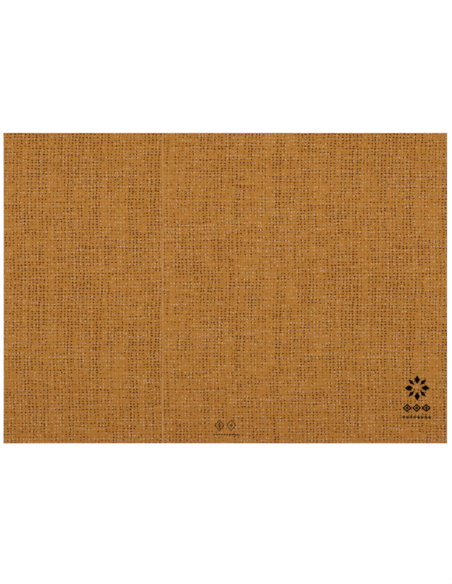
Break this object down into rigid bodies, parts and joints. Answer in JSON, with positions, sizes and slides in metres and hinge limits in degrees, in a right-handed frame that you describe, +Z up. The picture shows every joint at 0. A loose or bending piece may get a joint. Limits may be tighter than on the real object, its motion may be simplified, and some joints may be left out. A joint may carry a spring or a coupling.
{
  "type": "paper placemat",
  "caption": "Flat rectangular disposable placemat of kraft paper with a printed hessian weave, laid under a table setting to keep the table clean.",
  "frame": {"origin": "middle of the underside, on the table", "axes": "+X along the long sides, to the diner's right; +Y along the short sides, away from the diner; +Z up, out of the printed face"},
  "size_m": [0.5, 0.35, 0.0001],
  "materials": {
    "printed_kraft": "matt uncoated recycled kraft paper, printed on the upper face with a two-ink hessian weave, bare on the underside"
  },
  "bodies": {
    "root": {"paper_sheet": "printed_kraft"}
  },
  "joints": []
}
